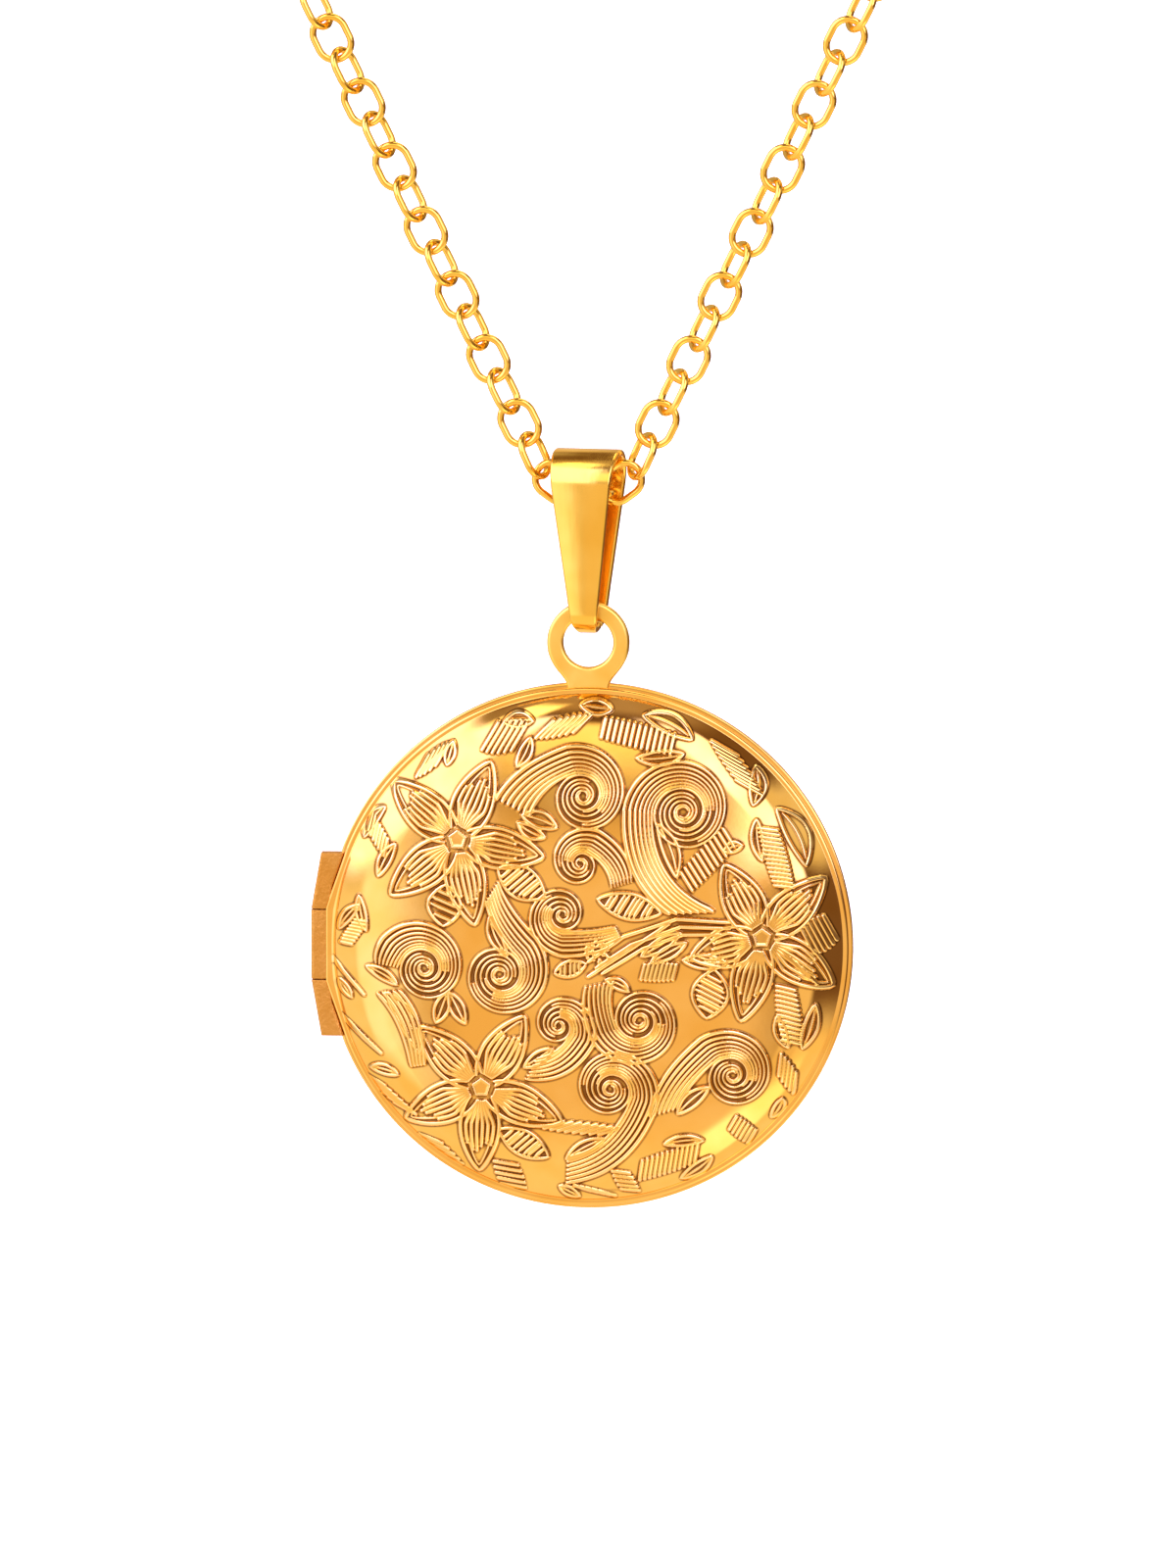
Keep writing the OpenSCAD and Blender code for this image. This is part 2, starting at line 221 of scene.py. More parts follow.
class Tree:
    """A short way to write a node tree."""

    def __init__(self, tree):
        self.tree = tree

    def add(self, kind, **settings):
        node = self.tree.nodes.new("ShaderNode" + kind)
        for key, value in settings.items():
            if key in node.inputs:
                node.inputs[key].default_value = value
            else:
                setattr(node, key, value)
        return node

    def link(self, a, b):
        self.tree.links.new(a, b)

    def map_range(self, value, low, high, to_low, to_high, kind="LINEAR"):
        """A value's range from low to high carried over to another, and held at its ends."""
        ends = {"From Min": low, "From Max": high, "To Min": to_low, "To Max": to_high}
        spread = self.add("MapRange", interpolation_type=kind, **ends)
        self.link(value, spread.inputs["Value"])
        return spread.outputs[0]

    def over(self, below, mask, colour):
        """colour laid over what is below, as far as mask says."""
        mix = self.add("Mix", data_type="RGBA")
        self.link(mask, mix.inputs[0])
        mix.inputs[7].default_value = (*colour, 1)
        if isinstance(below, tuple):
            mix.inputs[6].default_value = (*below, 1)
        else:
            self.link(below, mix.inputs[6])
        return mix.outputs[2]


class Nodes(Tree):
    """A material and its nodes; plain holds those inputs of its shader that don't vary."""

    def __init__(self, name, plain):
        self.material = bpy.data.materials.new(name)
        self.material.use_nodes = True
        super().__init__(self.material.node_tree)
        self.shader = self.tree.nodes["Principled BSDF"]
        for key, value in plain.items():
            self.shader.inputs[key].default_value = value
        self.coordinates = self.add("TexCoord").outputs["Object"]

    def feed(self, key, output):
        self.link(output, self.shader.inputs[key])

    def noise(self, scale, detail=3.0, stretch=(1, 1, 1)):
        mapping = self.add("Mapping")
        mapping.inputs["Scale"].default_value = stretch
        self.link(self.coordinates, mapping.inputs["Vector"])
        noise = self.add("TexNoise", Scale=scale, Detail=detail)
        self.link(mapping.outputs[0], noise.inputs["Vector"])
        return noise.outputs["Fac"]

    def ramp(self, value, stops):
        ramp = self.add("ValToRGB")
        elements = ramp.color_ramp.elements
        while len(elements) < len(stops):
            elements.new(0.5)
        for element, (position, colour) in zip(elements, stops):
            element.position = position
            element.color = (*colour, 1)
        self.link(value, ramp.inputs[0])
        return ramp.outputs[0]

    def span(self, value, low, high):
        """Noise spread over low to high."""
        return self.map_range(value, 0.3, 0.7, low, high)

    def bump(self, height, distance):
        bump = self.add("Bump", Strength=1.0, Distance=distance)
        self.link(height, bump.inputs["Height"])
        self.feed("Normal", bump.outputs[0])


GOLD = (0.97, 0.56, 0.115)
YELLOW_GOLD = (0.97, 0.6, 0.09)
# A paler gold for the pendant ring: a painted highlight that makes its flat faces look as bright as lit,
# crowned ones.
PAINTED_LIGHT_RING_GOLD = (1.0, 0.66, 0.12)
ORANGE_GOLD = (0.68, 0.33, 0.055)
# Painted highlight: a paler gold laid on the relief's crests.
PAINTED_CREST_HIGHLIGHT = (1.0, 0.84, 0.45)
# Painted shade: a dark brown laid in the relief's grooves.
PAINTED_GROOVE_SHADE = (0.16, 0.055, 0.01)
GROOVE = "groove"  # how deep a point lies below its surroundings, in millimetres
# Painted shade in the relief's grooves and a painted highlight on its crests: for each, the depths where it
# begins and where it is full, its strength and its colour.
RELIEF_PAINTED_LIGHT = [(0.009, 0.04, 0.92, PAINTED_GROOVE_SHADE), (-0.01, -0.045, 0.6, PAINTED_CREST_HIGHLIGHT)]


def gold_plate(name, rough, grain, grain_depth, stretch=(1, 1, 1), colour=GOLD):
    """Gold plating in clouds of paler and deeper plate.

    rough is the range of its roughness, grain the scale of its fine grain and grain_depth how deep that is.
    """
    nodes = Nodes(name, {"Metallic": 1.0})
    clouds = nodes.noise(420, detail=2)
    paler = (colour[0], min(1, colour[1] * 1.05), colour[2] * 1.25)
    deeper = (colour[0] * 0.95, colour[1] * 0.93, colour[2] * 0.85)
    nodes.feed("Base Color", nodes.ramp(clouds, [(0.35, deeper), (0.65, paler)]))
    nodes.feed("Roughness", nodes.span(nodes.noise(1900, detail=4, stretch=stretch), *rough))
    nodes.bump(nodes.noise(grain, detail=4, stretch=stretch), grain_depth)
    return nodes.material


def engraved_gold():
    """Polished plate with painted shade that darkens its grooves and a painted highlight that makes its
    crests paler.
    """
    material = gold_plate("engraved_gold", (0.04, 0.09), 3200, 0.001 * MM)
    tree = Tree(material.node_tree)
    base_colour = tree.tree.nodes["Principled BSDF"].inputs["Base Color"]
    colour = base_colour.links[0].from_socket
    groove = tree.add("Attribute", attribute_name=GROOVE).outputs["Fac"]
    # The painted shade goes into the grooves and the painted highlight onto the crests.
    for begin, full, strength, tone in RELIEF_PAINTED_LIGHT:
        colour = tree.over(colour, tree.map_range(groove, begin, full, 0, strength), tone)
    tree.link(colour, base_colour)
    return material


def clear_acetate():
    plain = {"Base Color": (0.97, 0.98, 0.98, 1), "Transmission Weight": 1.0, "IOR": 1.47}
    nodes = Nodes("clear_acetate", plain)
    nodes.feed("Roughness", nodes.span(nodes.noise(900), 0.02, 0.07))
    nodes.bump(nodes.noise(260, detail=1), 0.004 * MM)
    return nodes.material


def spring_steel():
    nodes = Nodes("spring_steel", {"Metallic": 1.0})
    steel = nodes.ramp(nodes.noise(3000), [(0.3, (0.42, 0.42, 0.43)), (0.7, (0.62, 0.61, 0.6))])
    nodes.feed("Base Color", steel)
    nodes.feed("Roughness", nodes.span(nodes.noise(6000), 0.2, 0.4))
    return nodes.material


def studio_floor():
    plain = {"Roughness": 0.9, "Emission Color": (1, 1, 1, 1), "Emission Strength": 0.75}
    nodes = Nodes("studio_floor", plain)
    pale = nodes.ramp(nodes.noise(2.0, detail=2), [(0.3, (0.90, 0.90, 0.90)), (0.7, (0.92, 0.92, 0.92))])
    nodes.feed("Base Color", pale)
    return nodes.material


# ---- Chain ----

# The chain's route, in millimetres and degrees: each link's tilt and place follow the CAD links' rule.
WIRE_D = 0.37
LINK_L = 2.62
LINK_W = 2.06
LINK_GAP = 0.07  # play between two links
PITCH = LINK_L - 2 * WIRE_D - LINK_GAP
STRAND_LINKS = 17
STRAND_TILT = 64
FIRST_TILTS = {1: 36, 2: 66}  # the links beside the bail lie at other angles
CHAIN_DIP = -0.4  # height of the middle link in the bail's eye
ROLL_FACE = 90  # a link that faces the front
ROLL_SIDE = 30  # a link between two of those


def link_tilt(k):
    return FIRST_TILTS.get(k, STRAND_TILT)


def strand_links():
    """Centre and tilt of each link of the right strand, in the XZ plane and in millimetres."""
    hang = np.array([PITCH / 2, CHAIN_DIP])
    for k in range(1, STRAND_LINKS + 1):
        tilt = math.radians(link_tilt(k))
        way = np.array([math.cos(tilt), math.sin(tilt)])
        yield k, hang + way * PITCH / 2, link_tilt(k)
        hang = hang + way * PITCH


def strand_matrix(centre, tilt, roll, side=1):
    """Puts what lies along X at a point of a strand; side -1 is the left strand."""
    turn = Matrix.Rotation(math.radians(-tilt), 4, "Y") @ Matrix.Rotation(math.radians(roll), 4, "X")
    placed = Matrix.Translation((centre[0] * MM, 0, centre[1] * MM)) @ turn
    return Matrix.Diagonal((side, 1, 1, 1)) @ placed


def strand_end(distance):
    *_, (_, centre, tilt) = strand_links()
    tilt = math.radians(tilt)
    return centre + distance * np.array([math.cos(tilt), math.sin(tilt)])


def wire_loop(r, wire, straight=0.0, sides=16, steps=28):
    """A round wire bent into a ring or a long link, flat on XY, long side along X; takes millimetres."""
    path = []
    for end in (1, -1):
        for i in range(steps):
            a = math.radians(-90 + 180 * i / (steps - 1 if straight else steps))
            path.append((end * (straight / 2 + r * math.cos(a)), end * r * math.sin(a), 0))
    return sweep(np.array(path) * MM, circle_outline(wire / 2 * MM, sides), closed=True, up=(0, 0, 1))


def make_chain(gold):
    link = wire_loop((LINK_W - WIRE_D) / 2, WIRE_D, LINK_L - LINK_W)
    parts = [(place(link[0], strand_matrix((0, CHAIN_DIP), 0, 0)), link[1])]
    half_path = []
    for k, centre, tilt in strand_links():
        roll = ROLL_FACE if k % 2 else ROLL_SIDE
        half_path.append(centre)
        for side in (1, -1):
            verts = place(link[0], strand_matrix(centre, tilt, roll, side))
            faces = link[1] if side > 0 else [face[::-1] for face in link[1]]
            parts.append((verts, faces))
    half_path.append(strand_end(LINK_L / 2))
    verts, faces = join_parts(parts)
    links = add_mesh("chain", verts, faces, gold, "chain")
    left = [(-x * MM, 0, z * MM) for x, z in reversed(half_path)]
    right = [(x * MM, 0, z * MM) for x, z in half_path]
    return links, left + [(0, 0, CHAIN_DIP * MM)] + right


# ---- Relief of the cover ----


# Half-width and height of a cord of the relief, in millimetres.
CORD_W, CORD_H = 0.13, 0.15
CORD_EDGE = 0.55  # lower makes a cord's flanks steeper
DAB_SPACING = 0.04  # how densely dabs make up a cord
END_LENGTH = 0.2  # length over which a cord's ends taper


class Relief:
    """A height map of raised cords on the cover. Places are in millimetres from the dome's centre."""

    def __init__(self, half=13.2, step=0.03):
        self.half, self.step = half, step
        self.count = int(2 * half / step) + 1
        self.height = np.zeros((self.count, self.count))
        self.lines = np.linspace(-half, half, self.count)

    def patch(self, low_x, high_x, low_z, high_z):
        """Slices and coordinates of the part of the map that a shape covers."""
        def index(v):
            return int(np.clip((v + self.half) / self.step, 0, self.count))

        i0, i1 = index(low_x), index(high_x + self.step)
        j0, j1 = index(low_z), index(high_z + self.step)
        x, z = np.meshgrid(self.lines[i0:i1], self.lines[j0:j1], indexing="ij")
        return (slice(i0, i1), slice(j0, j1)), x, z

    def dab(self, x0, z0, radius, height, edge):
        """Raises a round spot; a small edge makes it flat-topped with a steep wall."""
        where, x, z = self.patch(x0 - radius, x0 + radius, z0 - radius, z0 + radius)
        fall = np.clip(1 - ((x - x0) ** 2 + (z - z0) ** 2) / radius ** 2, 0, 1)
        self.height[where] = np.maximum(self.height[where], height * fall ** edge)

    def stroke(self, points, width=CORD_W, height=CORD_H, taper=0.3):
        """A rounded cord along a line of points; width is one half-width or one for each point."""
        points = np.asarray(points, float)
        runs = np.r_[0, np.cumsum(np.linalg.norm(np.diff(points, axis=0), axis=1))]
        s = np.linspace(0, runs[-1], max(2, int(runs[-1] / DAB_SPACING)))
        xs, zs = np.interp(s, runs, points[:, 0]), np.interp(s, runs, points[:, 1])
        widths = np.interp(s, runs, np.broadcast_to(width, len(points)))
        near_end = np.minimum(s, runs[-1] - s) / END_LENGTH
        size = 1 - taper + taper * np.clip(near_end, 0, 1)
        for x0, z0, w, k in zip(xs, zs, widths, size):
            self.dab(x0, z0, w * k, height, CORD_EDGE)

    def groove(self, reach=3):
        """How far each point lies below the mean height around it."""
        mean = self.height
        for axis in (0, 1, 0, 1):
            mean = sum(np.roll(mean, shift, axis) for shift in range(-reach, reach + 1)) / (2 * reach + 1)
        return mean - self.height

    def read(self, h, x, z):
        """A map's value at many points, read smoothly."""
        fx = np.clip((x + self.half) / self.step, 0, self.count - 1.001)
        fz = np.clip((z + self.half) / self.step, 0, self.count - 1.001)
        i, j = fx.astype(int), fz.astype(int)
        u, v = fx - i, fz - j
        low = h[i, j] * (1 - u) + h[i + 1, j] * u
        high = h[i, j + 1] * (1 - u) + h[i + 1, j + 1] * u
        return low * (1 - v) + high * v


def bezier(p0, p1, p2, count=24):
    t = np.linspace(0, 1, count)[:, None]
    p0, p1, p2 = (np.asarray(p, float) for p in (p0, p1, p2))
    return (1 - t) ** 2 * p0 + 2 * t * (1 - t) * p1 + t ** 2 * p2


def turned(degrees):
    a = math.radians(degrees)
    return np.array([math.cos(a), math.sin(a)])


def petal(relief, centre, angle, length, half_width=1.0, hatches=6):
    """A pointed petal: a raised edge, a second line inside its tip, and hatching up from its base."""
    along, across = turned(angle), turned(angle + 90)
    centre = np.asarray(centre, float)

    def edge(t, scale):
        return scale * half_width * np.sin(np.pi * t ** 0.85) ** 0.75

    t = np.linspace(0.1, 1, 40)
    for side in (1, -1):
        rim = centre + np.outer(t * length, along) + np.outer(side * edge(t, 1), across)
        relief.stroke(rim, width=0.13)
        tip = t[18:]
        inner = centre + np.outer(tip * length * 0.93, along) + np.outer(side * edge(tip, 0.66), across)
        relief.stroke(inner, width=0.07, height=0.1)
    for k in range(hatches):
        spread = (k - (hatches - 1) / 2) / (hatches / 2)
        reach = 0.74 - 0.1 * abs(spread) + 0.05 * math.sin(5 * k + angle)
        run = np.linspace(0.16, reach, 12)
        offset = spread * edge(run, 0.86) * np.clip(run / 0.42, 0.4, 1)
        line = centre + np.outer(run * length, along) + np.outer(offset, across)
        relief.stroke(line, width=0.13)
        relief.dab(*line[-1], 0.11, CORD_H + 0.015, 0.5)


# A flower's boss, from the hollow round it inwards: half-width and height of each step, in millimetres.
BOSS = [(0.6, 0.02), (0.42, 0.13), (0.3, 0.1)]


def flower(relief, x, z, petals):
    """Petals, a list of (angle, length), round a small five-sided boss with a raised edge."""
    for angle, length in petals:
        petal(relief, (x, z), angle, length)
    where, gx, gz = relief.patch(x - 0.8, x + 0.8, z - 0.8, z + 0.8)
    normals = [turned(126 + 72 * k) for k in range(5)]
    reach = np.max([(gx - x) * nx + (gz - z) * nz for nx, nz in normals], axis=0)
    for half, height in BOSS:
        relief.height[where] = np.where(reach < half, height, relief.height[where])


# How far in a scroll's cords run, as parts of its radius, cord by cord in turn.
SCROLL_ENDS = (0.08, 0.55, 0.3, 0.55)


def scroll(relief, x, z, radius, start, turn, tail_outer, tail_inner, lines=7, spacing=0.3):
    """Cords that sweep in from a tail and wind up in a spiral; turn is 1 for anticlockwise, or -1."""
    centre = np.array([x, z])
    tail_outer, tail_inner = np.asarray(tail_outer, float), np.asarray(tail_inner, float)
    tail_w = max(0.09, 0.52 * np.linalg.norm(tail_outer - tail_inner) / (lines - 1))
    way = turned(start + 90 * turn)
    step_in = 1 - spacing / radius
    turn_in = step_in ** lines
    for k in range(lines):
        first_r = radius * step_in ** k
        eye = min(0.7 * first_r, radius * SCROLL_ENDS[k % 4])
        swings = math.log(eye / first_r) / math.log(turn_in)
        a = np.linspace(0, swings, int(60 * swings) + 2)
        r = first_r * turn_in ** a
        spiral = centre + r[:, None] * np.array([turned(start + 360 * turn * v) for v in a])
        begin = spiral[0]
        tip = tail_outer + (tail_inner - tail_outer) * k / (lines - 1)
        lead = bezier(tip, begin - way * np.linalg.norm(begin - tip) * 0.62, begin)
        spiral_w = 0.46 * (1 - step_in) * np.maximum(r, 0.6 * radius)
        lead_w = np.linspace(tail_w, spiral_w[0], len(lead))
        relief.stroke(np.concatenate([lead[:-1], spiral]), width=np.concatenate([lead_w[:-1], spiral_w]))


def leaf(relief, start, end, half_width, bend=0, ribs=0):
    """A pointed leaf between two points: raised edges round a middle rib, or round slanting ribs."""
    start, end = np.asarray(start, float), np.asarray(end, float)
    length = np.linalg.norm(end - start)
    along = (end - start) / length
    across = np.array([-along[1], along[0]])
    t = np.linspace(0, 1, 30)
    spine = start + np.outer(t * length, along) + np.outer(bend * 4 * t * (1 - t), across)
    width = half_width * np.sin(np.pi * t) ** 0.8
    for side in (1, -1):
        relief.stroke(spine + side * width[:, None] * across, width=0.11)
    if not ribs:
        relief.stroke(spine[3:-3], width=0.08, height=0.11)
    for k in range(ribs):
        i = 4 + int(22 * (k + 0.5) / ribs)
        half = 0.8 * width[i]
        lean = along * half * 0.35
        relief.stroke([spine[i] - half * across - lean, spine[i] + half * across + lean])


def comb(relief, start, end, count, length, angle, swell=0.2):
    """Short parallel ridges in a row from one point to another; swell makes the middle ones longer."""
    start, end = np.asarray(start, float), np.asarray(end, float)
    way = turned(angle)
    for k in range(count):
        t = k / max(1, count - 1)
        middle = start + (end - start) * t
        half = length / 2 * (1 - swell + swell * math.sin(math.pi * (0.15 + 0.7 * t)))
        relief.stroke([middle - way * half, middle + way * half], taper=0.1)


def stipple(relief, x, z, radius, count, seed):
    """Beads strewn evenly over a round patch."""
    rng = np.random.default_rng(seed)
    for _ in range(count):
        spot = (x, z) + radius * np.sqrt(rng.random()) * turned(360 * rng.random())
        relief.dab(*spot, 0.13, CORD_H, CORD_EDGE)


FLOWERS = [
    (-6.5, 5.7, [(67, 4.3), (141, 4.4), (220, 4.5), (282, 4.4), (350, 4.5)]),
    (9.0, 0.8, [(43, 4.3), (117, 4.2), (195, 3.7), (256, 4.4), (324, 4.4)]),
    (-5.3, -7.0, [(59, 4.4), (136, 4.4), (205, 4.4), (267, 4.5), (337, 4.5)]),
]

# Each scroll: centre, radius, start of its outer line in degrees, turn, and its tail's outer and inner tip.
SCROLLS = [
    (-0.1, 8.0, 2.6, 110, -1, (-4.5, 7.8), (-2.8, 7.0)),
    (5.0, 7.2, 3.0, 178, -1, (4.3, 2.1), (6.5, 2.2)),
    (-0.2, 4.6, 1.9, 60, 1, (2.4, 3.7), (1.4, 3.4)),
    (-1.1, 2.0, 2.1, 270, -1, (1.9, 0.8), (1.6, 1.4)),
    (-8.2, -0.9, 2.6, 145, -1, (-10.7, -0.7), (-9.6, -0.9)),
    (-4.3, -1.1, 2.65, 45, -1, (-4.4, 3.6), (-5.0, 2.6)),
    (-1.3, -3.7, 2.0, -30, 1, (-3.0, -6.5), (-2.4, -5.4)),
    (2.8, -3.4, 2.6, 200, 1, (0.1, -1.7), (1.5, -1.4)),
    (1.3, -7.0, 2.5, -20, 1, (-1.0, -12.0), (-0.9, -10.6)),
    (7.5, -6.3, 2.5, 130, -1, (3.3, -8.4), (4.7, -8.0)),
]

# Each leaf: start, end, half width and, unless it is plain, its bend and how many ribs cross it.
LEAVES = [
    ((0.7, 2.8), (3.9, 2.1), 0.65, 0, 9),
    ((-1.5, -1.0), (0.1, -0.5), 0.4, 0, 5),
    ((2.9, -0.1), (4.9, 1.1), 0.3),
    ((3.4, -0.4), (5.2, 0.6), 0.3),
    ((5.0, -0.3), (7.3, -0.5), 0.35),
    ((1.1, -1.3), (2.3, -1.9), 0.25, 0.1),
    ((6.6, -0.8), (6.2, -3.3), 0.9, 0, 8),
    ((7.1, 5.2), (8.0, 5.5), 0.25, 0.1),
    ((3.7, 6.6), (4.7, 3.9), 0.4, 0.2),
    ((-3.2, 7.0), (-1.4, 6.4), 0.4, 0.1),
    ((-3.4, 6.6), (-2.0, 5.9), 0.3, -0.1),
    ((-4.4, 4.3), (-2.0, 2.9), 0.8, 0, 8),
    ((-7.1, 3.4), (-7.2, 1.3), 0.85, 0, 4),
    ((-4.8, 1.9), (-3.9, -0.1), 0.3, -0.2),
    ((-7.0, -2.1), (-7.6, -3.7), 0.35),
    ((-6.9, -2.1), (-6.1, -3.7), 0.35),
    ((-11.2, -0.9), (-9.6, -1.8), 0.25, 0.1),
    ((-10.2, -2.2), (-8.4, -5.4), 0.45, 0.3),
    ((-3.1, -5.9), (-1.6, -4.9), 0.3),
    ((-4.4, -9.2), (-1.9, -10.6), 0.65, 0, 8),
    ((-1.0, -10.7), (1.0, -9.6), 0.3, 0.1),
    ((-0.3, 12.5), (1.3, 12.3), 0.35),
    ((2.9, 12.0), (5.4, 10.8), 0.45, 0.2),
    ((2.6, 9.9), (5.0, 10.1), 0.35, -0.1),
    ((-4.2, 11.6), (-2.7, 11.7), 0.35, 0.1),
    ((-3.5, 9.4), (-2.8, 10.9), 0.3, -0.1),
    ((-7.1, 9.4), (-6.8, 10.6), 0.25),
    ((-11.4, 5.6), (-10.3, 7.2), 0.3, 0.2),
    ((-10.6, 3.7), (-9.7, 5.4), 0.3, 0.1),
    ((-12.7, 0.9), (-11.6, 2.2), 0.25, 0.1),
    ((-11.6, 2.7), (-11.2, 0.9), 0.25, -0.1),
    ((-12.7, -1.7), (-12.0, -2.6), 0.2),
    ((-11.1, -6.2), (-9.6, -6.5), 0.25, 0.1),
    ((9.7, 7.3), (11.2, 4.4), 0.55, 0.35),
    ((8.7, 6.8), (9.0, 4.7), 0.3, -0.1),
    ((8.6, 9.4), (8.5, 7.5), 0.4, 0.2),
    ((11.7, -2.7), (11.0, -5.0), 0.35, 0.1),
    ((9.8, -3.2), (10.3, -4.9), 0.3, -0.1),
    ((10.0, -7.6), (9.4, -8.6), 0.25, 0.1),
    ((4.0, -9.9), (6.0, -9.7), 0.25, 0.1),
    ((4.8, -11.8), (6.4, -10.6), 0.3, -0.1),
    ((-1.4, -12.2), (-0.4, -12.8), 0.25),
    ((4.7, -8.3), (6.3, -6.9), 0.35, 0.1),
]

# Each comb: start and end of the row, number of ridges, their length and direction, and any larger swell.
COMBS = [
    ((3.0, -0.9), (4.6, -0.9), 8, 0.9, 75),
    ((5.2, 3.7), (7.3, 5.9), 11, 1.2, -58),
    ((0.9, 11.4), (4.4, 10.6), 13, 1.1, 78),
    ((-2.1, 11.3), (-0.2, 11.6), 7, 1.5, 45, 0.3),
    ((-4.9, 10.9), (-3.4, 10.9), 6, 1.9, 60, 0.3),
    ((-8.4, 9.3), (-7.4, 9.9), 5, 1.5, 62, 0.3),
    ((-11.1, 6.4), (-10.2, 5.2), 7, 1.0, 78),
    ((-12.3, 0.2), (-11.5, 1.4), 8, 0.7, -5),
    ((-12.7, -1.0), (-11.7, -2.0), 7, 1.3, -48, 0.3),
    ((-12.2, -3.9), (-11.0, -5.0), 7, 1.6, -38, 0.3),
    ((-10.9, -6.9), (-9.3, -8.3), 7, 1.4, -25),
    ((-8.0, -9.9), (-7.0, -11.0), 5, 1.4, -18),
    ((-4.1, -11.0), (-3.8, -12.3), 5, 1.4, -8),
    ((-0.2, -12.3), (1.0, -12.6), 5, 1.0, -20),
    ((1.8, -11.4), (2.2, -12.4), 5, 1.0, -8),
    ((2.8, -11.3), (5.6, -10.4), 12, 1.2, 80),
    ((7.5, -8.8), (8.4, -9.6), 6, 0.9, 60),
    ((9.9, -5.8), (10.6, -6.8), 5, 1.3, 82),
    ((10.2, -1.8), (10.5, -4.6), 12, 1.15, -15, 0.3),
    ((11.3, 0.6), (12.4, 1.2), 6, 1.7, -62, 0.3),
    ((9.3, 6.3), (10.1, 3.4), 14, 1.1, -8, 0.3),
    ((7.0, 10.3), (8.3, 8.4), 8, 1.7, -30),
    ((-1.6, -8.9), (1.2, -9.2), 8, 1.3, 20, 0.3),
    ((0.9, -0.7), (3.6, 1.1), 6, 2.0, 33, 0.3),
    ((10.4, -0.3), (11.4, -1.2), 5, 1.4, -50, 0.3),
]

# The right flower's stem.
STEMS = [
    [(7.4, 1.6), (4.7, 1.8), (2.0, 0.9), (0.2, -0.4)],
    [(7.4, 1.3), (4.9, 1.4), (2.4, 0.5), (0.6, -0.7)],
    [(7.1, 1.0), (5.0, 1.0), (3.0, 0.3), (0.9, -1.0)],
]

# A band of bent cords at the left: three points of its first cord, and how far on each next one lies.
BAND_BEND = [(-10.6, -2.3), (-9.3, -3.6), (-8.9, -6.0)]
BAND_SHIFT = (0.28, 0.05)
BAND_CORDS = 5
BAND_CLOSING = 0.6  # how much of the shift is left at the cords' far ends

# The beads at the stem's foot: the middle and radius of their patch, and their number.
BEADS = (0.7, 0.1, 0.6, 30)


def band(relief):
    """Cords side by side along one bend, closer together at their far ends."""
    first, middle, last = BAND_BEND
    for k in range(BAND_CORDS):
        shift = np.array(BAND_SHIFT) * k
        relief.stroke(bezier(first + shift, middle + shift, last + shift * BAND_CLOSING))


def cover_relief():
    relief = Relief()
    for x, z, petals in FLOWERS:
        flower(relief, x, z, petals)
    for scroll_facts in SCROLLS:
        scroll(relief, *scroll_facts)
    for leaf_facts in LEAVES:
        leaf(relief, *leaf_facts)
    for comb_facts in COMBS:
        comb(relief, *comb_facts)
    for line in STEMS:
        relief.stroke(line)
    band(relief)
    stipple(relief, *BEADS, seed=4)
    return relief


def dome_height(r):
    """Height of the smooth dome above the seam at a radius, both in metres."""
    crown = DOME_H - CROWN_R + np.sqrt(np.clip(CROWN_R ** 2 - r ** 2, 0, None))
    shoulder = SHOULDER_H + np.sqrt(np.clip(SHOULDER_R ** 2 - (r - SHOULDER_AT) ** 2, 0, None))
    return np.where(r < CROWN_END, crown, shoulder)


# The rim from the dome's edge to the seam: distance out from the rim's radius and height, in millimetres.
RIM_BEAD = [
    (-0.26, 0.47), (-0.2, 0.5), (-0.08, 0.49), (-0.02, 0.44),
    (0.0, 0.36), (0.0, 0.06), (-0.02, 0.02), (-0.06, 0.0),
]
# The seam, the ledge behind it and the seat of the photo frame: radius and height, in millimetres.
LEDGE = [(12.78, 0.0), (12.75, 0.03), (12.75, 0.45), (SEAT, 0.45), (SEAT, 0.95), (11.5, 0.95)]
LID_RADII = (10.8, 9.5, 8, 6, 4, 2, 0.02)  # where the inside follows the dome, in millimetres


def shell_edge(rim_r):
    """Profile from the dome's edge over the rim and round the inside to its axis, in metres."""
    edge = [(rim_r + dr * MM, h * MM) for dr, h in RIM_BEAD] + [(r * MM, h * MM) for r, h in LEDGE]
    return edge + [(r * MM, float(dome_height(np.array(r * MM))) - SHEET_T) for r in LID_RADII]


def flat_x(reach, rim_r):
    """Where the rim's outer edge runs beside the hinge, at a height above or below the case's centre."""
    slope = np.clip((reach - FLAT_HALF) / (FLAT_END - FLAT_HALF), 0, 1)
    return FLAT_X * (1 - slope) - math.sqrt(rim_r ** 2 - FLAT_END ** 2) * slope


def hinge_flat(x, z, rim_r, radius, height):
    """Draws the rim out to its flats beside the hinge, and lets it curl over the hinge's barrels."""
    reach = np.abs(z - CASE_Z)
    near = (x < 0) & (reach < FLAT_END)
    x = np.where(near, flat_x(reach, rim_r) + rim_r - radius, x)
    barrel = math.sqrt(max((0.1 * MM) ** 2, (BARREL_R + 0.04 * MM) ** 2 - height ** 2))
    return np.where((x < 0) & (reach < HINGE_HALF + 0.05 * MM), np.maximum(x, PIN_X + barrel), x)


RIPPLE = 0.003 * MM  # how far the stamped dome is from a true one


